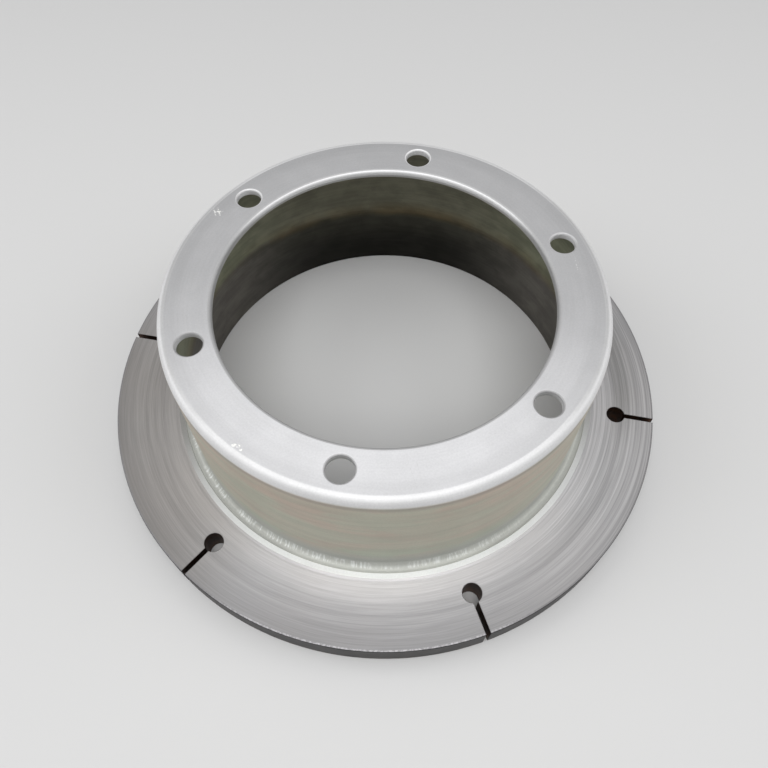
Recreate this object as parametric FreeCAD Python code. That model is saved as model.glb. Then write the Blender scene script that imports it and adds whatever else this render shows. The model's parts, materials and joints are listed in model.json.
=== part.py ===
import FreeCAD, Part
import math
import os

# One-piece aircraft brake disc, turned all over from a steel forging.
# A thick friction ring lies at the bottom, a thin wall rises from it like a hat,
# and a flange turns inwards at the top, with a pilot bore and bolt holes.
# Slots with round ends open the ring's rim, so that it can grow when hot.
# Millimetres, +Z up. The origin is on the axis, in the plane of the ring's back face.
# The first bolt hole is on +X.

# Friction ring
disc_dia = 234.95
ring_thickness = 12.7
rim_chamfer = 0.6
back_bore_chamfer = 0.8

# Wear: the linings have swept both faces down from the unworn land beside the wall
wear_depth = 0.1
wear_step_run = 1.2
foot_land_width = 2.2
# One ring is scored deeper into the front face: its place across the swept band, from 0 (wall) to 1 (rim)
score_place = 0.53
score_width = 1.4
score_depth = 0.16

# Hat: its wall stands clear of the bolt heads under the flange
hat_rise = 59.9
wall_thickness = 3.2
bolt_head_room = 7.95
foot_fillet_radius = 3.0
foot_groove_width = 0.6
foot_groove_depth = 0.2
shoulder_radius = 3.7

# Mounting flange
flange_thickness = 3.2
pilot_bore_dia = 129.4
pilot_edge_radius = 1.5
inner_corner_chamfer = 1.6
bolt_count = 6
bolt_circle_inset = 9.3
bolt_hole_dia = 9.9
bolt_hole_chamfer = 0.45

# Relief slots: a drilled hole, and a saw cut from it out through the rim, midway between bolts
slot_count = 6
slot_hole_inset = 15.875
slot_hole_dia = 7.6
slot_width = 1.95

# How far the cutting tools run past the faces that they cut
overrun = 2.0

# From the pilot bore out: the bolts, the wall behind them, and the ring's own stations
disc_r = disc_dia / 2
pilot_r = pilot_bore_dia / 2
bolt_circle_r = pilot_r + bolt_circle_inset
wall_in_r = bolt_circle_r + bolt_head_room
hat_r = wall_in_r + wall_thickness
foot_r = hat_r + foot_fillet_radius
land_r = foot_r + foot_groove_width
swept_r = land_r + foot_land_width
band_r = swept_r + wear_step_run
rim_edge_r = disc_r - rim_chamfer
back_z = wear_depth
front_z = ring_thickness - wear_depth
score_r = band_r + score_place * (rim_edge_r - band_r)
top_z = ring_thickness + hat_rise
flange_under_z = top_z - flange_thickness


def ring_corners():
    """Radius and height of each corner of the ring, from its bore over the back face, rim and front face."""
    back = [(wall_in_r + back_bore_chamfer, 0), (swept_r, 0), (band_r, back_z), (rim_edge_r, back_z)]
    rim = [(disc_r, back_z + rim_chamfer), (disc_r, front_z - rim_chamfer), (rim_edge_r, front_z)]
    score = [(score_r + score_width / 2, front_z), (score_r, front_z - score_depth)]
    score += [(score_r - score_width / 2, front_z)]
    land = [(band_r, front_z), (swept_r, ring_thickness), (land_r, ring_thickness)]
    groove = [(land_r - foot_groove_width / 2, ring_thickness - foot_groove_depth), (foot_r, ring_thickness)]
    return back + rim + score + land + groove


def flange_corners():
    """The same for the flange, from its top face over the edge of the pilot bore and out to the wall's inside.
    The edge is rounded off with two bevels that meet on a quarter circle."""
    middle = pilot_edge_radius * (1 - math.sqrt(0.5))
    return [
        (pilot_r + pilot_edge_radius, top_z),
        (pilot_r + middle, top_z - middle),
        (pilot_r, top_z - pilot_edge_radius),
        (pilot_r, flange_under_z),
        (wall_in_r - inner_corner_chamfer, flange_under_z),
        (wall_in_r, flange_under_z - inner_corner_chamfer),
        (wall_in_r, back_bore_chamfer),
    ]


def section_point(corner):
    return FreeCAD.Vector(corner[0], 0, corner[1])


def straight_runs(corners):
    points = [section_point(corner) for corner in corners]
    return [Part.LineSegment(a, b).toShape() for a, b in zip(points, points[1:])]


def arc(centre, radius, first_angle, last_angle):
    """An arc in the section, from one angle to another in degrees."""
    angles = [math.radians(angle) for angle in (first_angle, (first_angle + last_angle) / 2, last_angle)]
    points = [(centre[0] + radius * math.cos(a), centre[1] + radius * math.sin(a)) for a in angles]
    return Part.Arc(*[section_point(point) for point in points]).toShape()


def section_face():
    """The whole section: ring, foot fillet, wall, shoulder and flange, closed down the inside of the wall."""
    ring = ring_corners()
    foot_centre = (foot_r, ring_thickness + foot_fillet_radius)
    shoulder_centre = (hat_r - shoulder_radius, top_z - shoulder_radius)
    wall = [(hat_r, foot_centre[1]), (hat_r, shoulder_centre[1])]
    flange = [(shoulder_centre[0], top_z)] + flange_corners() + [ring[0]]
    edges = straight_runs(ring) + [arc(foot_centre, foot_fillet_radius, 270, 180)]
    edges += straight_runs(wall) + [arc(shoulder_centre, shoulder_radius, 0, 90)]
    return Part.Face(Part.Wire(edges + straight_runs(flange)))


def turned_about_axis(shape, angle):
    copy = shape.copy()
    copy.rotate(FreeCAD.Vector(0, 0, 0), FreeCAD.Vector(0, 0, 1), angle)
    return copy


def bolt_hole_tool():
    """The drill, and the countersinks that break the hole's edges, for the hole on +X."""
    r = bolt_hole_dia / 2
    c = bolt_hole_chamfer
    up = FreeCAD.Vector(0, 0, 1)
    foot = FreeCAD.Vector(bolt_circle_r, 0, flange_under_z - overrun)
    drill = Part.makeCylinder(r, flange_thickness + 2 * overrun, foot, up)
    top_sink = Part.makeCone(r, r + 2 * c, 2 * c, FreeCAD.Vector(foot.x, 0, top_z - c), up)
    under_sink = Part.makeCone(r + 2 * c, r, 2 * c, FreeCAD.Vector(foot.x, 0, flange_under_z - c), up)
    return drill.fuse([top_sink, under_sink])


def relief_slot_tool():
    """The drill, and the saw cut out through the rim, for a slot on +X."""
    height = ring_thickness + 2 * overrun
    hole_at = disc_r - slot_hole_inset
    drill = Part.makeCylinder(slot_hole_dia / 2, height, FreeCAD.Vector(hole_at, 0, -overrun))
    corner = FreeCAD.Vector(hole_at, -slot_width / 2, -overrun)
    return drill.fuse(Part.makeBox(slot_hole_inset + overrun, slot_width, height, corner))


def brake_disc():
    blank = section_face().revolve(FreeCAD.Vector(0, 0, 0), FreeCAD.Vector(0, 0, 1), 360)
    bolt_step = 360 / bolt_count
    slot_step = 360 / slot_count
    holes = [turned_about_axis(bolt_hole_tool(), k * bolt_step) for k in range(bolt_count)]
    slots = [turned_about_axis(relief_slot_tool(), bolt_step / 2 + k * slot_step) for k in range(slot_count)]
    return blank.cut(holes + slots)


os.makedirs("parts", exist_ok=True)
disc = brake_disc()
disc.exportStep("parts/brake_disc.step")
print("solids", len(disc.Solids), "valid", disc.isValid(), "volume", round(disc.Volume), "box", disc.BoundBox)
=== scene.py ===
import json
import math

import bpy
import mathutils
import numpy as np
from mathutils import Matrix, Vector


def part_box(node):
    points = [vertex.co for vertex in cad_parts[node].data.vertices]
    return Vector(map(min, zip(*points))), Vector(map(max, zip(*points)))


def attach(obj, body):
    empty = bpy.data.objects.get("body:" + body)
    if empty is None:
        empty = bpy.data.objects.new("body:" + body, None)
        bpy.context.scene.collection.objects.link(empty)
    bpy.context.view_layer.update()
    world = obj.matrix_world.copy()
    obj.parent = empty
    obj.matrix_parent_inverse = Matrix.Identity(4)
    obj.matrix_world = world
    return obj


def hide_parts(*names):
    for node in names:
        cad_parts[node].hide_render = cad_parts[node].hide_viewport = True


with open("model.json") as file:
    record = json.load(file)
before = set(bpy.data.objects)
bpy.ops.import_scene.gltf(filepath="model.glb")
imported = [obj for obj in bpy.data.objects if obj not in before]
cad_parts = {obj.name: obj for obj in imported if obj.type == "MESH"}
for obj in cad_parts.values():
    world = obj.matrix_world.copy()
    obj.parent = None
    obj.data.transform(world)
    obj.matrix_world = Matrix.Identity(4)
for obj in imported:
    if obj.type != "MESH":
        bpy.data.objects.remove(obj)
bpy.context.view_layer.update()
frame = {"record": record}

mm = 0.001

# The brake disc is one steel forging, turned all over on a lathe.
# A thick friction ring lies at the bottom, a thin wall rises from it like a hat,
# and a flange turns inwards at the top round the pilot bore.
mounts = {mount["name"]: mount for mount in frame["record"]["mounts"]}
disc_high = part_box("brake_disc")[1]
disc_r = disc_high.x
top_z = disc_high.z
ring_z = 12.7 * mm
rim_edge = 0.6 * mm
back_bore_edge = 0.8 * mm

wear = 0.1 * mm
wear_run = 1.2 * mm
foot_land = 2.2 * mm

wall = 3.2 * mm
hat_r = 85.15 * mm
foot_fillet = 3.0 * mm
foot_groove = 0.6 * mm
foot_groove_depth = 0.2 * mm
shoulder = 3.7 * mm

flange = 3.2 * mm
pilot_r = mounts["pilot_bore"]["dims"]["r_mm"] * mm
pilot_edge = 1.5 * mm
inner_corner = 1.6 * mm

wall_in_r = hat_r - wall
foot_r = hat_r + foot_fillet
land_r = foot_r + foot_groove
swept_r = land_r + foot_land
band_r = swept_r + wear_run
rim_edge_r = disc_r - rim_edge
front_z = ring_z - wear
under_z = top_z - flange

# Points round the disc, and how many times closer they stand in the foot fillet
turn_steps = 320
fine = 6
# A straight stretch has a point this near to each end, so that its shading stays flat
hold = 0.12 * mm

def straight(start, end, inner=()):
    """Points from start to end: the start, one just inside each end, and shares of the way between them."""
    start, end = np.array(start), np.array(end)
    near = min(hold / np.linalg.norm(end - start), 0.3)
    shares = np.array([0, near, *inner, 1 - near])
    return start + shares[:, None] * (end - start)

def bend(centre, radius, first, last, steps):
    """Points on a circle about centre, from the first angle to before the last, in degrees."""
    angles = np.radians(np.linspace(first, last, steps, endpoint=False))
    return np.array(centre) + radius * np.column_stack([np.cos(angles), np.sin(angles)])

# The place and width of each worn ring, as shares of the swept band, and its depth in millimetres
worn_rings = [
    (0.10, 0.03, 0.004), (0.225, 0.02, 0.008), (0.335, 0.016, 0.007),
    (0.41, 0.012, 0.006), (0.465, 0.012, 0.010), (0.508, 0.024, 0.035),
    (0.58, 0.01, 0.006), (0.70, 0.02, 0.006), (0.86, 0.03, 0.005),
]

def worn_depth(r):
    """Depth of the front face under the unworn land at radius r: a smooth step down to the swept band,
    and the worn rings in the band, each a bell curve."""
    share = (r - band_r) / (rim_edge_r - band_r)
    down = np.clip((r - swept_r) / wear_run, 0, 1)
    step = wear * down * down * (3 - 2 * down)
    bells = [depth * mm * np.exp(-(((share - place) / width) ** 2)) for place, width, depth in worn_rings]
    return step + sum(bells)

# From the rim in to the land, close enough together to carry the worn rings
face_rows = 78
face_r = np.linspace(rim_edge_r - hold, swept_r + hold, face_rows)
worn_face = np.column_stack([face_r, ring_z - worn_depth(face_r)])

section = [
    straight((wall_in_r + back_bore_edge, 0), (swept_r, 0)),
    straight((swept_r, 0), (band_r, wear)),
    straight((band_r, wear), (rim_edge_r, wear), (0.3, 0.5, 0.7)),
    bend((rim_edge_r, wear + rim_edge), rim_edge, -90, 0, 4),
    straight((disc_r, wear + rim_edge), (disc_r, front_z - rim_edge)),
    bend((rim_edge_r, front_z - rim_edge), rim_edge, 0, 90, 4),
    [(rim_edge_r, front_z)],
    worn_face,
    straight((swept_r, ring_z), (land_r, ring_z)),
]
foot = [
    [(land_r, ring_z), (land_r - foot_groove / 4, ring_z - foot_groove_depth * 0.8)],
    [(land_r - foot_groove / 2, ring_z - foot_groove_depth)],
    [(foot_r + foot_groove / 4, ring_z - foot_groove_depth * 0.7)],
    bend((foot_r, ring_z + foot_fillet), foot_fillet, 270, 180, 14),
]
hat = [
    straight((hat_r, ring_z + foot_fillet), (hat_r, top_z - shoulder), (0.2, 0.5, 0.8)),
    bend((hat_r - shoulder, top_z - shoulder), shoulder, 0, 90, 14),
    straight((hat_r - shoulder, top_z), (pilot_r + pilot_edge, top_z), (0.3, 0.6)),
    bend((pilot_r + pilot_edge, top_z - pilot_edge), pilot_edge, 90, 180, 10),
    straight((pilot_r, top_z - pilot_edge), (pilot_r, under_z)),
    straight((pilot_r, under_z), (wall_in_r - inner_corner, under_z)),
    bend((wall_in_r - inner_corner, under_z - inner_corner), inner_corner, 90, 0, 6),
    straight((wall_in_r, under_z - inner_corner), (wall_in_r, back_bore_edge), (0.3, 0.6)),
    bend((wall_in_r + back_bore_edge, back_bore_edge), back_bore_edge, 180, 270, 4),
]

def stacked(stretches):
    return np.concatenate([np.array(stretch, float) for stretch in stretches])

def swung(points, steps):
    """The points swung round the axis: x = r cos a, y = r sin a, z = z. One row for each point."""
    a = np.linspace(0, 2 * math.pi, steps, endpoint=False)
    r, z = points[:, :1], points[:, 1:]
    return np.stack([r * np.cos(a), r * np.sin(a), z + 0 * a], axis=-1)

def chatter(points, steps):
    """Short upright tool marks in the foot fillet: the surface sinks by depth(a) x notch(a) x window(row).
    The notches stand on uneven angles, each a bell curve of its own width, and come and go in clusters."""
    a = np.linspace(0, 2 * math.pi, steps, endpoint=False)
    draw = np.random.default_rng(7)
    count = 340
    deepest = 0.075 * mm
    places = 2 * math.pi * (np.arange(count) + draw.normal(0, 0.2, count)) / count
    widths = draw.uniform(0.0032, 0.0062, count)
    waves = np.arange(2, 18)
    cluster = (np.cos(waves[:, None] * places + draw.uniform(0, 2 * math.pi, (len(waves), 1)))
               / np.sqrt(waves)[:, None]).sum(0)
    depths = deepest * np.clip(0.5 + 0.3 * cluster + draw.normal(0, 0.2, count), 0.05, 1.2)
    reach = draw.uniform(0.62, 0.9, count)
    apart = np.abs((a[:, None] - places + math.pi) % (2 * math.pi) - math.pi)
    notch = np.exp(-((apart / widths) ** 2)) * depths
    along = np.linspace(0, 1, len(points))[:, None, None]
    window = np.clip((along - 0.2) / 0.2, 0, 1) * np.clip((reach - along) / 0.2, 0, 1)
    sink = (notch * window).sum(2)[:, :, None]
    rows = swung(points, steps)
    out = np.gradient(points, axis=0)
    normal = np.column_stack([out[:, 1], -out[:, 0]]) / np.linalg.norm(out, axis=1)[:, None]
    lean = np.stack([normal[:, :1] * np.cos(a), normal[:, :1] * np.sin(a), normal[:, 1:] + 0 * a], axis=-1)
    return rows - sink * lean

def strip_faces(first, count, next_first, next_count):
    """Faces between one ring of points and the next. Where one is finer, a face takes in its extra points."""
    coarse = min(count, next_count)
    j = np.arange(coarse)
    per, next_per = count // coarse, next_count // coarse
    here = [first + (j * per + k) % count for k in range(per + 1)]
    there = [next_first + (j * next_per + k) % next_count for k in range(next_per + 1)]
    return np.column_stack(here + there[::-1]).tolist()

def ring_mesh(name, rings, closed):
    """A mesh over rings of points, each joined to the next. Closed joins the last to the first,
    and otherwise flat ends close it."""
    counts = [len(ring) for ring in rings]
    firsts = np.concatenate([[0], np.cumsum(counts)[:-1]])
    order = list(zip(firsts, counts))
    pairs = list(zip(order, order[1:] + order[:1])) if closed else list(zip(order, order[1:]))
    faces = [face for here, there in pairs for face in strip_faces(*here, *there)]
    if not closed:
        faces.append((firsts[0] + np.arange(counts[0]))[::-1].tolist())
        faces.append((firsts[-1] + np.arange(counts[-1])).tolist())
    mesh = bpy.data.meshes.new(name)
    mesh.from_pydata(np.concatenate(rings), [], faces)
    mesh.update()
    piece = bpy.data.objects.new(name, mesh)
    bpy.context.scene.collection.objects.link(piece)
    return piece

rings = list(swung(stacked(section), turn_steps))
rings += list(chatter(stacked(foot), turn_steps * fine))
rings += list(swung(stacked(hat), turn_steps))
disc = ring_mesh("turned_brake_disc", rings, closed=True)

# Six bolt holes are drilled through the flange on one circle, for the wheel's bolts.
# The edges of each hole are rounded over.
bolts = mounts["wheel_bolts"]["dims"]
bolt_circle_r = bolts["pcd_mm"] / 2 * mm
bolt_hole_r = bolts["hole_r_mm"] * mm
bolt_edge = 0.8 * mm
past = 1.0 * mm

def placed(rings, angle):
    """The same rings turned about the disc's axis by an angle in degrees."""
    c, s = math.cos(math.radians(angle)), math.sin(math.radians(angle))
    return rings @ np.array([[c, s, 0], [-s, c, 0], [0, 0, 1]])

def bolt_drill():
    """Circles about the bolt's centre on +X, up through the flange: the hole's radius, plus 1 - cos t over
    each rounded edge while the height moves by sin t, then wide past the face."""
    t = np.radians(np.linspace(0, 84, 6))
    over, rise = bolt_edge * (1 - np.cos(t)), bolt_edge * np.sin(t)
    heights = np.append(top_z - bolt_edge + rise, top_z + past)
    half = np.column_stack([np.append(over, over[-1] + past), heights])
    mirrored = half[::-1] * (1, -1) + (0, top_z + under_z)
    grow, heights = np.concatenate([mirrored, half]).T
    a = np.linspace(0, 2 * math.pi, 72, endpoint=False)
    r = bolt_hole_r + grow[:, None]
    return np.stack([bolt_circle_r + r * np.cos(a), r * np.sin(a), heights[:, None] + 0 * a], axis=-1)

# Six relief slots open the ring, midway between the bolts, so that it can grow when hot.
# Each is a drilled hole with a saw cut from it out through the rim, lightly deburred.
slot_inset = 15.875 * mm
slot_hole_r = 3.8 * mm
slot_half = 0.975 * mm
slot_edge = 0.18 * mm

def slot_cutter():
    """Keyhole outlines on +X, stacked: an arc about the hole's centre, then the saw cut's two sides
    out past the rim."""
    low = [-past, wear, wear + slot_edge]
    high = [front_z - slot_edge, front_z, ring_z + past]
    heights = np.array(low + high)[:, None]
    grow = np.array([slot_edge + past, slot_edge, 0, 0, slot_edge, slot_edge + past])[:, None]
    join = np.arcsin((slot_half + grow) / (slot_hole_r + grow))
    a = join + np.linspace(0, 1, 60) * (2 * math.pi - 2 * join)
    centre = disc_r - slot_inset
    arc_x = centre + (slot_hole_r + grow) * np.cos(a)
    arc_y = (slot_hole_r + grow) * np.sin(a)
    end_x = disc_r + past + 0 * grow
    x = np.hstack([arc_x, end_x, end_x])
    y = np.hstack([arc_y, -slot_half - grow, slot_half + grow])
    return np.stack([x, y, heights + 0 * x], axis=-1)

bolt_step = 360 / bolts["count"]
tools = []
for k in range(bolts["count"]):
    tools.append(ring_mesh("bolt_drill", list(placed(bolt_drill(), k * bolt_step)), closed=False))
    tools.append(ring_mesh("slot_cutter", list(placed(slot_cutter(), (k + 0.5) * bolt_step)), closed=False))
with bpy.context.temp_override(active_object=tools[0], selected_editable_objects=tools):
    bpy.ops.object.join()
cut = disc.modifiers.new("holes", "BOOLEAN")
cut.operation, cut.solver, cut.object = "DIFFERENCE", "EXACT", tools[0]
cut_mesh = bpy.data.meshes.new_from_object(disc.evaluated_get(bpy.context.evaluated_depsgraph_get()))
disc.modifiers.remove(cut)
bpy.data.objects.remove(tools[0])
disc.data = cut_mesh
cut_mesh.shade_smooth()
cut_mesh.set_sharp_from_angle(angle=math.radians(25))

# Four finishes lie on the one forging. This part makes the patterns that they share.
# The lathe left fine lines round the disc, and the plating has clouds and stains.

def add(tree, kind, inputs=None, **settings):
    """A new node. Each input takes a plain value, or another node's output."""
    made = tree.nodes.new("ShaderNode" + kind)
    for name, value in settings.items():
        setattr(made, name, value)
    for key, value in (inputs or {}).items():
        if isinstance(value, bpy.types.NodeSocket):
            tree.links.new(value, made.inputs[key])
        else:
            made.inputs[key].default_value = value
    return made

def calc(tree, operation, *values):
    return add(tree, "Math", dict(enumerate(values)), operation=operation).outputs[0]

def ease(tree, value, low, high, to_low=0.0, to_high=1.0):
    """A smooth step from to_low where value is low to to_high where it is high."""
    inputs = {"Value": value, "From Min": low, "From Max": high, "To Min": to_low, "To Max": to_high}
    return add(tree, "MapRange", inputs, interpolation_type="SMOOTHSTEP").outputs["Result"]

def blend(tree, share, first, second, how="MIX"):
    """Colour first, turned into second by share."""
    made = tree.nodes.new("ShaderNodeMix")
    made.data_type, made.blend_type = "RGBA", how
    for name, value in (("Factor", share), ("A", first), ("B", second)):
        kind = "VALUE" if name == "Factor" else "RGBA"
        socket = [s for s in made.inputs if s.name == name and s.type == kind][0]
        if isinstance(value, bpy.types.NodeSocket):
            tree.links.new(value, socket)
        else:
            socket.default_value = value if name == "Factor" else (*value, 1)
    return [s for s in made.outputs if s.type == "RGBA"][0]

def group(name, inputs, outputs):
    """An empty node group with float or vector inputs and float outputs, and its two end nodes."""
    tree = bpy.data.node_groups.new(name, "ShaderNodeTree")
    for label, value in inputs.items():
        kind = "NodeSocketVector" if isinstance(value, tuple) else "NodeSocketFloat"
        tree.interface.new_socket(label, in_out="INPUT", socket_type=kind).default_value = value
    for label in outputs:
        tree.interface.new_socket(label, in_out="OUTPUT", socket_type="NodeSocketFloat")
    return tree, tree.nodes.new("NodeGroupInput").outputs, tree.nodes.new("NodeGroupOutput").inputs

def use(tree, shared, **inputs):
    """Places a shared group in a material with its own values and gives its outputs."""
    return add(tree, "Group", inputs, node_tree=shared).outputs

def station_group():
    """Where a point is on the disc: its radius, the root of x squared plus y squared, and its height."""
    tree, _, out = group("station", {}, ("Radius", "Height"))
    place = add(tree, "TexCoord").outputs["Object"]
    apart = add(tree, "SeparateXYZ", {0: place}).outputs
    flat = add(tree, "CombineXYZ", {0: apart[0], 1: apart[1]}).outputs[0]
    tree.links.new(add(tree, "VectorMath", {0: flat}, operation="LENGTH").outputs["Value"], out["Radius"])
    tree.links.new(apart[2], out["Height"])
    return tree

station = station_group()

def lathe_lines_group():
    """Lines round the disc: noise over height minus radius, which runs along the section,
    drawn out round the turn."""
    tree, given, out = group("lathe_lines", {"Pitch": 0.001, "Breaks": 1.0, "Shift": 0.0}, ("Lines",))
    place = add(tree, "TexCoord").outputs["Object"]
    flat = add(tree, "VectorMath", {0: place, 1: (1, 1, 0)}, operation="MULTIPLY").outputs[0]
    around = add(tree, "VectorMath", {0: flat}, operation="NORMALIZE").outputs[0]
    around = add(tree, "VectorMath", {0: around, "Scale": given["Breaks"]}, operation="SCALE").outputs[0]
    at = use(tree, station)
    along = calc(tree, "DIVIDE", calc(tree, "SUBTRACT", at["Height"], at["Radius"]), given["Pitch"])
    lift = add(tree, "CombineXYZ", {2: calc(tree, "ADD", along, given["Shift"])}).outputs[0]
    where = add(tree, "VectorMath", {0: around, 1: lift}, operation="ADD").outputs[0]
    noise = add(tree, "TexNoise", {"Vector": where, "Scale": 1.0, "Detail": 3.0, "Roughness": 0.6})
    tree.links.new(ease(tree, noise.outputs["Fac"], 0.3, 0.7), out["Lines"])
    return tree

def clouds_group():
    """Soft clouds: noise in three dimensions, squeezed upright by Squeeze, with its middle at half."""
    tree, given, out = group("clouds", {"Size": 0.01, "Squeeze": 1.0, "Shift": 0.0}, ("Clouds",))
    place = add(tree, "TexCoord").outputs["Object"]
    squeeze = add(tree, "CombineXYZ", {0: 1.0, 1: 1.0, 2: given["Squeeze"]}).outputs[0]
    place = add(tree, "VectorMath", {0: place, 1: squeeze}, operation="MULTIPLY").outputs[0]
    scale = calc(tree, "DIVIDE", 1.0, given["Size"])
    place = add(tree, "VectorMath", {0: place, "Scale": scale}, operation="SCALE").outputs[0]
    lift = add(tree, "CombineXYZ", {0: given["Shift"]}).outputs[0]
    place = add(tree, "VectorMath", {0: place, 1: lift}, operation="ADD").outputs[0]
    noise = add(tree, "TexNoise", {"Vector": place, "Scale": 1.0, "Detail": 4.0, "Roughness": 0.55})
    tree.links.new(ease(tree, noise.outputs["Fac"], 0.28, 0.72), out["Clouds"])
    return tree

def stroke_group():
    """A mark on the surface: 1 within Width of the line between two points, fading to 0 at twice that,
    and broken by grit."""
    given_values = {"Start": (0.0, 0.0, 0.0), "End": (0.0, 0.0, 0.0), "Width": 0.001, "Grit": 0.5}
    tree, given, out = group("stroke", given_values, ("Mark",))
    place = add(tree, "TexCoord").outputs["Object"]
    run = add(tree, "VectorMath", {0: given["End"], 1: given["Start"]}, operation="SUBTRACT").outputs[0]
    from_start = add(tree, "VectorMath", {0: place, 1: given["Start"]}, operation="SUBTRACT").outputs[0]
    reach = add(tree, "VectorMath", {0: from_start, 1: run}, operation="DOT_PRODUCT").outputs["Value"]
    whole = add(tree, "VectorMath", {0: run, 1: run}, operation="DOT_PRODUCT").outputs["Value"]
    share = add(tree, "Clamp", {0: calc(tree, "DIVIDE", reach, whole)}).outputs[0]
    foot_point = add(tree, "VectorMath", {0: run, "Scale": share}, operation="SCALE").outputs[0]
    gap = add(tree, "VectorMath", {0: from_start, 1: foot_point}, operation="DISTANCE").outputs["Value"]
    grit = add(tree, "TexNoise", {"Vector": place, "Scale": 1400.0, "Detail": 2.0}).outputs["Fac"]
    near = ease(tree, gap, given["Width"], calc(tree, "MULTIPLY", given["Width"], 2.0), 1.0, 0.0)
    kept = ease(tree, calc(tree, "ADD", grit, calc(tree, "MULTIPLY", given["Grit"], -0.3)), 0.25, 0.5)
    tree.links.new(calc(tree, "MULTIPLY", near, kept), out["Mark"])
    return tree

def towards_group():
    """How far a point lies towards a heading: 1 on it, 0 square to it and -1 opposite."""
    tree, given, out = group("towards", {"Heading": (1.0, 0.0, 0.0)}, ("Facing",))
    place = add(tree, "TexCoord").outputs["Object"]
    flat = add(tree, "VectorMath", {0: place, 1: (1, 1, 0)}, operation="MULTIPLY").outputs[0]
    around = add(tree, "VectorMath", {0: flat}, operation="NORMALIZE").outputs[0]
    facing = add(tree, "VectorMath", {0: around, 1: given["Heading"]}, operation="DOT_PRODUCT")
    tree.links.new(facing.outputs["Value"], out["Facing"])
    return tree

lathe_lines = lathe_lines_group()
clouds = clouds_group()
stroke = stroke_group()
towards = towards_group()

# Several greys differ from one side of the disc to another. They were measured on the photograph,
# where wear and handling can't be told from the light, so part of the difference is painted light and shade.
def side(tree, degrees, low, high):
    """A mask for the side of the disc at a heading: it starts at the cosine low and is 1 from high on."""
    heading = (math.cos(math.radians(degrees)), math.sin(math.radians(degrees)), 0)
    return ease(tree, use(tree, towards, Heading=heading)["Facing"], low, high)

def flanks(tree, degrees, low, high):
    """The same for the two sides that lie square to a heading, both at once."""
    heading = (-math.sin(math.radians(degrees)), math.cos(math.radians(degrees)), 0)
    facing = use(tree, towards, Heading=heading)["Facing"]
    return ease(tree, calc(tree, "ABSOLUTE", facing), low, high)

def steel(name, roughness=0.5):
    """A metal material with a uniform shine, and its tree and shader."""
    made = bpy.data.materials.new(name)
    made.use_nodes = True
    tree = made.node_tree
    shader = tree.nodes["Principled BSDF"]
    shader.inputs["Metallic"].default_value = 1
    shader.inputs["Roughness"].default_value = roughness
    return made, tree, shader

def grey(tree, value):
    return add(tree, "CombineColor", {0: value, 1: value, 2: value}).outputs[0]

def shade(tree, amount, low, high):
    """A grey between low and high, to multiply a colour by."""
    return grey(tree, ease(tree, amount, 0.0, 1.0, low, high))

def shaded(tree, colour, amount, low, high):
    """The colour, multiplied by such a grey."""
    return blend(tree, 1.0, colour, shade(tree, amount, low, high), "MULTIPLY")

def times(tree, first, second):
    return calc(tree, "MULTIPLY", first, second)

def finished(tree, shader, colour, relief, depth):
    """Links a colour to the shader, and a fine relief with its depth."""
    tree.links.new(colour, shader.inputs["Base Color"])
    bump = add(tree, "Bump", {"Height": relief, "Distance": depth, "Strength": 1.0})
    tree.links.new(bump.outputs[0], shader.inputs["Normal"])

# The flange, shoulder, wall and foot keep a dull silver plating.
# It is olive on the wall, and carries a few marks. Painted sheen brightens one side of the flange top, and
# partly one side of the land.
flange_silver = (0.455, 0.455, 0.463)
# The brighter grey is painted sheen for one side of the flange top.
flange_sheen = (0.665, 0.665, 0.677)
shoulder_silver = (0.71, 0.71, 0.715)
# A brownish painted shade for the band under the shoulder.
under_lip_shade = (0.30, 0.26, 0.24)
wall_olive = (0.51, 0.49, 0.405)
wall_brown = (0.54, 0.46, 0.385)
wall_green = (0.475, 0.51, 0.415)
foot_grey = (0.50, 0.51, 0.475)
# The land's brighter grey is partly its own pale finish and partly painted sheen.
land_bright_and_sheen = (0.80, 0.815, 0.82)
land_dull = (0.37, 0.365, 0.35)
# A darker grey painted in the groove.
groove_dark = (0.16, 0.16, 0.155)
# Painted glints of the chatter marks in the foot fillet.
chatter_glint_paint = (0.82, 0.84, 0.83)
tangent_z = top_z - shoulder

def wall_colour(tree, at):
    """Olive with long brown and green stains, a brownish painted shade under the shoulder, and silver above
    it.
    """
    brown = ease(tree, use(tree, lathe_lines, Pitch=0.011, Breaks=2.2, Shift=3.0)["Lines"], 0.2, 0.8)
    green = ease(tree, use(tree, lathe_lines, Pitch=0.009, Breaks=3.0, Shift=21.0)["Lines"], 0.2, 0.8)
    high = ease(tree, ease(tree, at["Height"], 34 * mm, 58 * mm), 0.0, 1.0, 0.55, 1.0)
    low = ease(tree, ease(tree, at["Height"], 38 * mm, 20 * mm), 0.0, 1.0, 0.35, 0.9)
    colour = blend(tree, times(tree, brown, high), wall_olive, wall_brown)
    colour = blend(tree, times(tree, green, low), colour, wall_green)
    streaks = use(tree, lathe_lines, Pitch=0.0035, Breaks=1.6, Shift=33.0)["Lines"]
    colour = shaded(tree, colour, streaks, 0.955, 1.035)
    # A brownish painted shade in a band just under the shoulder.
    under_lip_shade_mask = times(tree, ease(tree, at["Height"], tangent_z - 3.2 * mm, tangent_z - 0.6 * mm),
                      ease(tree, at["Height"], tangent_z + 0.9 * mm, tangent_z - 0.2 * mm))
    colour = blend(tree, times(tree, under_lip_shade_mask, 0.45), colour, under_lip_shade)
    on_shoulder = ease(tree, at["Height"], tangent_z - 0.4 * mm, tangent_z + 1.4 * mm)
    return blend(tree, on_shoulder, colour, shoulder_silver)

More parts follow.
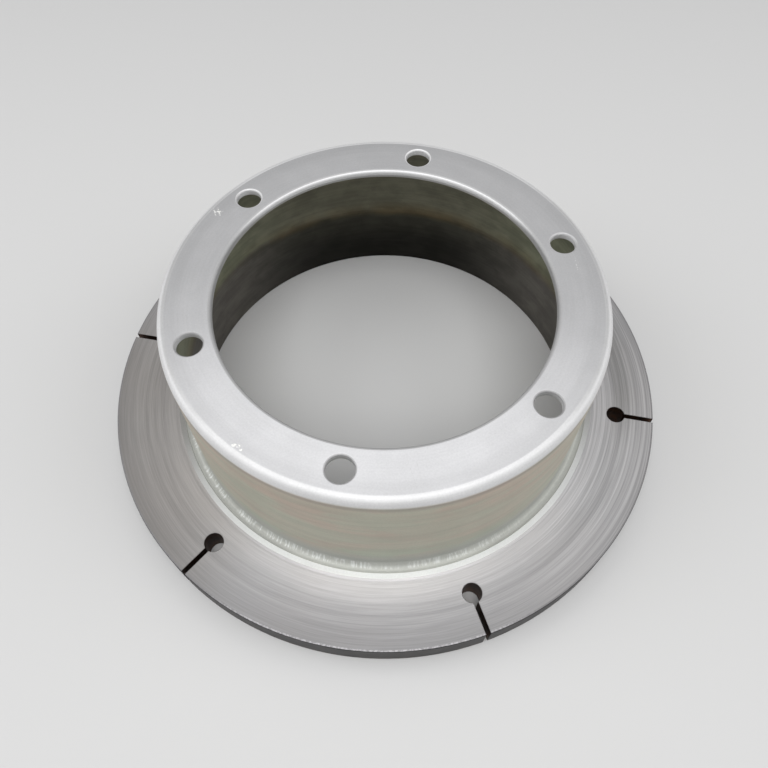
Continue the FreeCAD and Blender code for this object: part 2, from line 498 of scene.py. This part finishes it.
def edge_greys(tree, at, colour):
    """Painted shade on the tops of the shoulder and the pilot edge on two sides, a painted highlight on the
    bore wall on a third, and painted shade on the bore wall elsewhere.
    """
    # Painted shade on two sides, near the top.
    shaded_flanks = flanks(tree, 71, 0.6, 0.97)
    high_up = ease(tree, at["Height"], top_z - 0.65 * mm, top_z - 0.15 * mm, 0.0, 0.32)
    outside = calc(tree, "SUBTRACT", 1.0, times(tree, shaded_flanks, high_up))
    # A painted highlight on the bore wall on one side, and painted shade on it elsewhere.
    under_edge = ease(tree, at["Height"], top_z - 0.1 * mm, top_z - 0.4 * mm)
    over_corner = ease(tree, at["Height"], under_z + 0.5 * mm, under_z + 1.6 * mm)
    bore_highlight = times(tree, times(tree, side(tree, 71, 0.3, 0.8), under_edge), over_corner)
    inside = ease(tree, bore_highlight, 0.0, 1.0, 0.66, 1.22)
    edge_r = pilot_r + pilot_edge
    in_bore = ease(tree, at["Radius"], edge_r + 0.05 * mm, edge_r - 0.1 * mm)
    not_in_bore = calc(tree, "SUBTRACT", 1.0, in_bore)
    level = calc(tree, "ADD", times(tree, outside, not_in_bore), times(tree, inside, in_bore))
    return blend(tree, 1.0, colour, grey(tree, level), "MULTIPLY")

def flange_top(tree, at, colour):
    """The flat top of the flange: painted brighter on one side as painted sheen, and duller out towards the
    shoulder.
    """
    # Painted sheen on one side.
    sheen_side = side(tree, 247, -0.1, 1.0)
    outwards = ease(tree, at["Radius"], bolt_circle_r - 1 * mm, bolt_circle_r + 7 * mm)
    top = shaded(tree, blend(tree, sheen_side, flange_silver, flange_sheen), outwards, 1.0, 0.92)
    flat_top = ease(tree, at["Height"], top_z - 0.03 * mm, top_z - 0.005 * mm)
    return blend(tree, flat_top, colour, top)

# Marks on the flange. Each goes from one angle and radius to another, and has a width in millimetres.
scuffs = [
    ((129.0, 77.6), (130.4, 80.6), 0.24),
    ((130.6, 77.2), (128.6, 80.4), 0.2),
    ((131.4, 78.4), (129.6, 81.6), 0.2),
    ((213.4, 81.0), (214.6, 80.2), 0.4),
    ((215.6, 80.8), (216.4, 80.6), 0.3),
]
faint_rubs = [((349.0, 74.5), (355.0, 75.5), 0.1)]
scratches = [
    ((257.0, 67.5), (258.5, 80.0), 0.07),
    ((259.5, 71.0), (260.2, 79.0), 0.06),
    ((96.0, 70.0), (99.5, 73.5), 0.07),
    ((172.0, 71.0), (170.0, 77.0), 0.06),
    ((281.0, 69.0), (285.0, 72.0), 0.06),
    ((31.0, 71.0), (28.0, 76.0), 0.07),
]
scuff_pale = (0.93, 0.93, 0.90)
scratch_grey = (0.5, 0.5, 0.5)

def on_flange(turn, radius):
    """A point on the flange's top face, from an angle in degrees and a radius in millimetres."""
    a = math.radians(turn)
    return (radius * mm * math.cos(a), radius * mm * math.sin(a), top_z)

def marked(tree, colour, marks, strength, paint):
    """The colour with marks of one kind over it."""
    for start, end, width in marks:
        ends = {"Start": on_flange(*start), "End": on_flange(*end)}
        mark = use(tree, stroke, Width=width * mm, Grit=0.5, **ends)["Mark"]
        colour = blend(tree, times(tree, mark, strength), colour, paint)
    return colour

def hole_edges(tree, at, colour):
    """The rounded edges of the bolt holes are painted darker, as painted shade, except on one side."""
    near_top = times(tree, ease(tree, at["Height"], top_z - 0.01 * mm, top_z - 0.05 * mm),
                     ease(tree, at["Height"], top_z - 1.0 * mm, top_z - 0.6 * mm))
    near_bolts = times(tree, ease(tree, at["Radius"], bolt_circle_r - 7.5 * mm, bolt_circle_r - 6.5 * mm),
                       ease(tree, at["Radius"], bolt_circle_r + 7.2 * mm, bolt_circle_r + 6.2 * mm))
    # Painted shade on the hole edges, except towards one side.
    hole_edge_shade = ease(tree, side(tree, 71, -1.0, 0.5), 0.0, 1.0, 0.66, 1.05)
    level = ease(tree, times(tree, near_top, near_bolts), 0.0, 1.0, 1.0, hole_edge_shade)
    return blend(tree, 1.0, colour, grey(tree, level), "MULTIPLY")

def foot_colour(tree, at, colour, flat_land):
    """Grey, with the land painted brighter on one side, partly its own pale finish and partly painted sheen,
    the groove painted darker, less so on one side, and painted glints of the chatter marks along the fillet.
    """
    low_down = ease(tree, at["Height"], ring_z + 13 * mm, ring_z + 2.6 * mm)
    colour = blend(tree, low_down, colour, foot_grey)
    # The land is painted brighter towards one side: partly its own pale finish, partly painted sheen.
    sheen_side = side(tree, 258, 0.1, 0.8)
    colour = blend(tree, flat_land, colour, blend(tree, sheen_side, land_dull, land_bright_and_sheen))
    # The groove is painted darker, less so on one side.
    in_groove = times(tree, ease(tree, at["Radius"], land_r + 0.15 * mm, land_r - 0.2 * mm),
                      ease(tree, at["Height"], ring_z + 0.5 * mm, ring_z + 0.1 * mm))
    lighter_groove_side = side(tree, 252, 0.85, 0.96)
    groove_darkening = times(tree, in_groove, ease(tree, lighter_groove_side, 0.0, 1.0, 0.38, 0.15))
    colour = blend(tree, groove_darkening, colour, groove_dark)
    # Painted glints: pale ticks where the chatter marks catch the light, on one side of the fillet.
    chatter_glint = ease(tree, use(tree, lathe_lines, Pitch=0.008, Breaks=105.0, Shift=2.0)["Lines"], 0.45, 0.75)
    patch = ease(tree, use(tree, lathe_lines, Pitch=0.02, Breaks=7.0, Shift=8.0)["Lines"], 0.1, 0.6)
    patch = times(tree, patch, side(tree, 226, 0.3, 0.9))
    in_fillet = times(tree, ease(tree, at["Height"], ring_z + 2.3 * mm, ring_z + 1.5 * mm),
                      ease(tree, at["Height"], ring_z + 0.02 * mm, ring_z + 0.3 * mm))
    chatter_glint = times(tree, chatter_glint, times(tree, in_fillet, patch))
    return blend(tree, times(tree, chatter_glint, 0.55), colour, chatter_glint_paint)

def plated_skin():
    made, tree, shader = steel("plated_skin")
    at = use(tree, station)
    flat_land = times(tree, ease(tree, at["Height"], ring_z + 0.3 * mm, ring_z + 0.05 * mm),
                      ease(tree, at["Radius"], land_r - 0.1 * mm, land_r + 0.2 * mm))
    tree.links.new(ease(tree, flat_land, 0.0, 1.0, 0.45, 0.9), shader.inputs["Metallic"])
    tree.links.new(ease(tree, flat_land, 0.0, 1.0, 0.6, 0.4), shader.inputs["Roughness"])
    colour = flange_top(tree, at, edge_greys(tree, at, wall_colour(tree, at)))
    colour = marked(tree, colour, scuffs, 0.95, scuff_pale)
    colour = marked(tree, colour, faint_rubs, 0.4, scuff_pale)
    colour = marked(tree, colour, scratches, 0.4, scratch_grey)
    colour = hole_edges(tree, at, colour)
    colour = foot_colour(tree, at, colour, flat_land)
    stain = use(tree, clouds, Size=0.014, Squeeze=0.8)["Clouds"]
    colour = shaded(tree, colour, stain, 0.975, 1.02)
    lines = use(tree, lathe_lines, Pitch=0.0009, Breaks=2.0)["Lines"]
    colour = shaded(tree, colour, lines, 0.985, 1.015)
    place = add(tree, "TexCoord").outputs["Object"]
    grain = add(tree, "TexNoise", {"Vector": place, "Scale": 1500.0, "Detail": 2.0}).outputs["Fac"]
    colour = shaded(tree, colour, grain, 0.94, 1.06)
    finished(tree, shader, colour, calc(tree, "ADD", lines, grain), 4e-6)
    return made

# The linings have swept both faces of the ring to bare steel, in rings of their own.
# It is brightest beside the land and darker out towards the rim.
# Each ring's grey stands at its share of the way from the land to the rim.
ring_greys = [
    (0.0, 0.58), (0.017, 0.48), (0.033, 0.47), (0.055, 0.54), (0.09, 0.57), (0.195, 0.535),
    (0.245, 0.48), (0.326, 0.46), (0.39, 0.41), (0.445, 0.41), (0.488, 0.40), (0.523, 0.35),
    (0.604, 0.39), (0.677, 0.38), (0.773, 0.35), (1.0, 0.31),
]
rim_edge_dark = (0.20, 0.195, 0.20)
# The bright flecks on the rim's edge: partly rubbed wear, partly painted glints.
rim_edge_wear_and_glint = (0.56, 0.55, 0.57)

def uneven_ring(tree, share, colour):
    """One side is dark across the middle, and the side before it is painted brighter towards the rim, as
    painted light.
    The opposite side has a browner painted shade, and the one between them a little painted shade towards the
    rim."""
    middle = times(tree, ease(tree, share, 0.36, 0.42), ease(tree, share, 0.9, 0.56))
    outer = ease(tree, share, 0.5, 0.7)
    dark_middle = times(tree, side(tree, 352, 0.85, 0.985), middle)
    colour = blend(tree, dark_middle, colour, (0.72, 0.72, 0.71), "MULTIPLY")
    # Painted light on one side, and painted shade on two others.
    colour = blend(tree, times(tree, side(tree, 312, 0.75, 0.98), outer), colour, (1.1, 1.1, 1.1), "MULTIPLY")
    colour = blend(tree, side(tree, 180, 0.7, 0.95), colour, (0.76, 0.74, 0.71), "MULTIPLY")
    return blend(tree, times(tree, side(tree, 252, 0.8, 0.97), outer), colour, (0.92, 0.92, 0.92), "MULTIPLY")

def swept_steel():
    made, tree, shader = steel("swept_steel")
    shader.inputs["Anisotropic"].default_value = 0.15
    shader.inputs["Anisotropic Rotation"].default_value = 0.25
    around = add(tree, "Tangent", direction_type="RADIAL", axis="Z").outputs[0]
    tree.links.new(around, shader.inputs["Tangent"])
    radius = use(tree, station)["Radius"]
    across = {"Value": radius, "From Min": swept_r, "From Max": rim_edge_r}
    share = add(tree, "MapRange", across).outputs[0]
    # The inner half is polished, and the outer half is duller
    tree.links.new(ease(tree, share, 0.25, 0.6, 0.9, 0.45), shader.inputs["Metallic"])
    tree.links.new(ease(tree, share, 0.15, 0.6, 0.42, 0.68), shader.inputs["Roughness"])
    ramp = add(tree, "ValToRGB", {0: share})
    for k, (place, level) in enumerate(ring_greys):
        stop = ramp.color_ramp.elements[k] if k < 2 else ramp.color_ramp.elements.new(place)
        stop.position = place
        stop.color = (level, level * 0.99, level * 1.01, 1)
    colour = uneven_ring(tree, share, ramp.outputs[0])
    # Fine lines run all round, and are stronger on one side
    broad = use(tree, lathe_lines, Pitch=0.0024, Breaks=0.5)["Lines"]
    fine_lines = use(tree, lathe_lines, Pitch=0.0007, Breaks=0.9, Shift=40.0)["Lines"]
    short_lines = use(tree, lathe_lines, Pitch=0.0004, Breaks=5.0, Shift=70.0)["Lines"]
    even = shaded(tree, shade(tree, broad, 0.985, 1.015), fine_lines, 0.96, 1.04)
    strong = shaded(tree, shade(tree, broad, 0.94, 1.06), fine_lines, 0.85, 1.15)
    strong_side = side(tree, 335, 0.6, 0.95)
    colour = blend(tree, 1.0, colour, blend(tree, strong_side, even, strong), "MULTIPLY")
    colour = shaded(tree, colour, short_lines, 0.94, 1.06)
    heat = use(tree, clouds, Size=0.06, Shift=5.0)["Clouds"]
    colour = blend(tree, times(tree, heat, 0.6), colour, (1.02, 1.0, 0.985), "MULTIPLY")
    # The rim's edge is dark, with bright broken flecks, partly rubbed wear and partly painted glints, fewer
    # on one side
    edge = ease(tree, share, 0.985, 1.004)
    colour = blend(tree, edge, colour, rim_edge_dark)
    fleck = ease(tree, use(tree, clouds, Size=0.0009, Shift=14.0)["Clouds"], 0.2, 0.8, 0.3, 1.0)
    fewer_glints_side = side(tree, 248, 0.8, 0.97)
    rubbed_and_glinting = times(tree, edge, ease(tree, fewer_glints_side, 1.0, 0.0, 1.0, 0.1))
    colour = blend(tree, times(tree, rubbed_and_glinting, fleck), colour, rim_edge_wear_and_glint)
    all_lines = calc(tree, "ADD", calc(tree, "ADD", broad, fine_lines), short_lines)
    finished(tree, shader, colour, all_lines, 1.6e-6)
    return made

# Inside the hat the upper part is olive, with a brown fringe, and the steel below is grey-brown.
# All of it is painted dark as painted shade, darkest on one side and at the bottom.
inside_olive = (0.27, 0.28, 0.2)
inside_shaded_olive = (0.205, 0.2, 0.15)
inside_brown = (0.165, 0.155, 0.138)
# Painted shade on one side, from higher up down to the bottom.
inside_shade_high = (0.065, 0.063, 0.05)
inside_shade_low = (0.028, 0.027, 0.023)
fringe_brown = (0.17, 0.13, 0.07)

def hat_inside():
    made, tree, shader = steel("hat_inside", 0.55)
    at = use(tree, station)
    wobble = use(tree, clouds, Size=0.03)["Clouds"]
    height = calc(tree, "ADD", at["Height"], times(tree, wobble, 1.6 * mm))
    # Painted shade: darker on one side, and darkest towards the bottom.
    shaded_inside_side = side(tree, 71.5, 0.5, 0.97)
    inside_shade = blend(tree, ease(tree, at["Height"], 31 * mm, 12 * mm), inside_shade_high, inside_shade_low)
    colour = blend(tree, shaded_inside_side, inside_brown, inside_shade)
    plated = blend(tree, shaded_inside_side, inside_olive, inside_shaded_olive)
    colour = blend(tree, ease(tree, height, 31.5 * mm, 36 * mm), colour, plated)
    fringe = times(tree, ease(tree, height, 29 * mm, 33 * mm), ease(tree, height, 41 * mm, 34 * mm))
    patchy = use(tree, lathe_lines, Pitch=0.03, Breaks=3.0, Shift=5.0)["Lines"]
    colour = blend(tree, times(tree, fringe, times(tree, patchy, 0.6)), colour, fringe_brown)
    stain = use(tree, clouds, Size=0.012, Squeeze=1.6, Shift=9.0)["Clouds"]
    colour = shaded(tree, colour, stain, 0.85, 1.12)
    lines = use(tree, lathe_lines, Pitch=0.0012, Breaks=1.5, Shift=11.0)["Lines"]
    colour = shaded(tree, colour, lines, 0.94, 1.06)
    finished(tree, shader, colour, lines, 4e-6)
    return made

# The rim and the walls of the slots, which the linings don't touch, are dark, with rust in the slots.
# On the rim the dark is partly scale and partly a painted reflection of a dark floor. It is mottled, lined by
# the lathe and a little rusty low down.
# The rim's grey: partly dark scale, partly a painted reflection of a dark floor.
rim_scale_and_reflection = (0.052, 0.05, 0.05)
slot_dark = (0.05, 0.035, 0.028)
slot_rust = (0.11, 0.05, 0.025)
rim_rust = (0.085, 0.05, 0.035)

def dark_scale_and_reflection():
    made, tree, shader = steel("dark_scale_and_reflection")
    at = use(tree, station)
    stain = use(tree, clouds, Size=0.004, Shift=3.0)["Clouds"]
    in_slot = ease(tree, at["Radius"], disc_r - 0.2 * mm, disc_r - 0.6 * mm)
    colour = blend(tree, in_slot, rim_scale_and_reflection, slot_dark)
    colour = blend(tree, times(tree, stain, in_slot), colour, slot_rust)
    mottle = use(tree, clouds, Size=0.009, Squeeze=1.5, Shift=27.0)["Clouds"]
    colour = shaded(tree, colour, mottle, 0.82, 1.2)
    lines = use(tree, lathe_lines, Pitch=0.0011, Breaks=2.5, Shift=51.0)["Lines"]
    colour = shaded(tree, colour, lines, 0.86, 1.14)
    low_down = ease(tree, at["Height"], 5 * mm, 0.5 * mm)
    colour = blend(tree, times(tree, times(tree, low_down, mottle), 0.3), colour, rim_rust)
    finished(tree, shader, colour, calc(tree, "ADD", lines, stain), 5e-6)
    return made

# Each face takes its finish from where its middle lies on the section.
def finish_of(middle):
    """0 plated, 1 swept, 2 inside the hat, 3 dark scale and painted reflection, as whole arrays from the
    middles of the faces.
    """
    r, z = np.hypot(middle[:, 0], middle[:, 1]), middle[:, 2]
    finish = np.zeros(len(middle), np.int32)
    finish[(r > swept_r) & (z > ring_z / 2) & (z < ring_z + mm)] = 1
    finish[(r > wall_in_r) & (z < back_bore_edge) & (r < disc_r - rim_edge)] = 1
    finish[(r < wall_in_r + back_bore_edge) & (r > pilot_r + mm) & (z < under_z + 0.01 * mm)] = 2
    in_slot = (r > swept_r) & (z > wear + 0.03 * mm) & (z < ring_z - worn_depth(r) - 0.12 * mm)
    finish[in_slot] = 3
    finish[(r > rim_edge_r + 0.3 * mm) & (z < front_z - 0.3 * mm)] = 3
    return finish

middles = np.empty(len(cut_mesh.polygons) * 3, np.float32)
cut_mesh.polygons.foreach_get("center", middles)
for made in (plated_skin(), swept_steel(), hat_inside(), dark_scale_and_reflection()):
    cut_mesh.materials.append(made)
cut_mesh.polygons.foreach_set("material_index", finish_of(middles.reshape(-1, 3).astype(float)))
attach(disc, "root")
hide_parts("brake_disc")

# A plain pale floor, on which the disc lies on its friction ring.
floor_half = 3.0
floor_corners = [(x * floor_half, y * floor_half, 0) for x, y in ((-1, -1), (1, -1), (1, 1), (-1, 1))]
floor_mesh = bpy.data.meshes.new("floor")
floor_mesh.from_pydata(floor_corners, [], [(0, 1, 2, 3)])
floor = bpy.data.objects.new("floor", floor_mesh)
bpy.context.scene.collection.objects.link(floor)
floor_paint = bpy.data.materials.new("floor_paint")
floor_paint.use_nodes = True
floor_shader = floor_paint.node_tree.nodes["Principled BSDF"]
floor_shader.inputs["Base Color"].default_value = (0.6, 0.6, 0.6, 1)
floor_shader.inputs["Roughness"].default_value = 0.8
floor_mesh.materials.append(floor_paint)

# The camera stands where the photograph was taken from, looking down at the disc from a short arm's length.
camera_place = np.array([-0.05361, -0.15849, 0.28029])
camera_heading = math.radians(71.45)
camera_pitch = math.radians(58.631)
camera_roll = math.radians(-0.327)
ahead = np.array([math.cos(camera_heading), math.sin(camera_heading), 0])
right = np.array([math.sin(camera_heading), -math.cos(camera_heading), 0])
up = np.array([0, 0, 1])
camera_data = bpy.data.cameras.new("camera")
camera_data.sensor_width = 36
camera_data.lens = 33.10
camera_data.clip_start = 0.01
camera = bpy.data.objects.new("camera", camera_data)
bpy.context.scene.collection.objects.link(camera)
camera.location = camera_place
view = math.cos(camera_pitch) * ahead - math.sin(camera_pitch) * up
over = np.cross(right, view)
columns = np.column_stack([
    math.cos(camera_roll) * right + math.sin(camera_roll) * over,
    math.cos(camera_roll) * over - math.sin(camera_roll) * right,
    -view,
])
camera.rotation_euler = mathutils.Matrix(columns.tolist()).to_euler()
bpy.context.scene.camera = camera
bpy.context.scene.view_settings.view_transform = "Standard"

# Soft studio light: a pale room all round, and four wide lamps, two overhead and one at each side.
world = bpy.data.worlds.new("pale_room")
bpy.context.scene.world = world
world.use_nodes = True
room = world.node_tree.nodes["Background"]
room.inputs["Color"].default_value = (1, 1, 1, 1)
room.inputs["Strength"].default_value = 0.25

lamp_size = 0.8

def soft_lamp(name, place, watts):
    """A square lamp that faces the disc."""
    data = bpy.data.lights.new(name, "AREA")
    data.shape, data.size, data.energy = "SQUARE", lamp_size, watts
    lamp = bpy.data.objects.new(name, data)
    lamp.location = place
    lamp.rotation_euler = mathutils.Vector(place).to_track_quat("Z", "Y").to_euler()
    bpy.context.scene.collection.objects.link(lamp)

soft_lamp("overhead", -0.41 * ahead + 1.13 * up, 8.6)
soft_lamp("beyond", 0.37 * ahead + 1.14 * up, 1.2)
soft_lamp("left", -0.92 * right + 0.77 * up, 5.1)
soft_lamp("right", 0.92 * right + 0.77 * up, 4.3)
